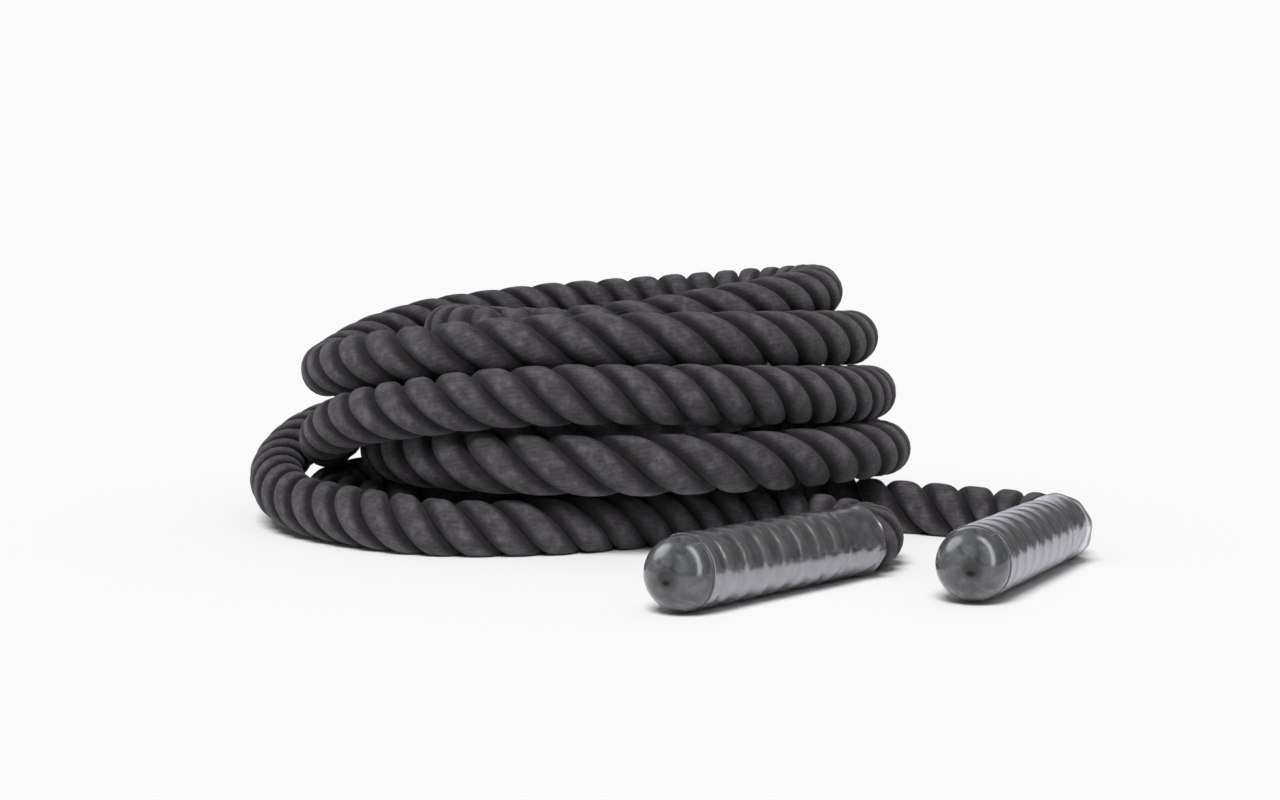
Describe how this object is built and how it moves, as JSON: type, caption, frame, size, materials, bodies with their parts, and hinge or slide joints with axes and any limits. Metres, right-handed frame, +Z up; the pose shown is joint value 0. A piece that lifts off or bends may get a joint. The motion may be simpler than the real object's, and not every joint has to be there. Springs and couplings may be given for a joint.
{
  "type": "battle rope",
  "caption": "Thick three-strand training rope piled in loose turns on the floor, with a ribbed rubber grip and domed cap under clear film on each end.",
  "frame": {"origin": "on the floor, at the middle of the whole object's box", "axes": "+Z up; +X to the right and -Y towards the viewer of the picture, with both grips at the front right"},
  "size_m": [0.5546, 0.629, 0.1769],
  "materials": {
    "rope": "matte black synthetic fibre, three-strand laid rope",
    "tape": "black cloth tape",
    "glue": "amber hot-melt adhesive",
    "grip_rubber": "moulded ribbed rubber, satin",
    "cap_rubber": "moulded rubber, semi-gloss",
    "clear_film": "clear glossy film"
  },
  "bodies": {
    "root": {"rope_coil": "rope", "rope_tail_a": "rope", "rope_tail_b": "rope", "rope_end_a": "rope", "rope_end_b": "rope", "end_whipping_a": "tape", "end_whipping_b": "tape", "glue_liner_a": "glue", "glue_liner_b": "glue", "grip_sleeve_a": "grip_rubber", "grip_sleeve_b": "grip_rubber", "end_cap_a": "cap_rubber", "end_cap_b": "cap_rubber", "clear_cover_a": "clear_film", "clear_cover_b": "clear_film"}
  },
  "joints": []
}
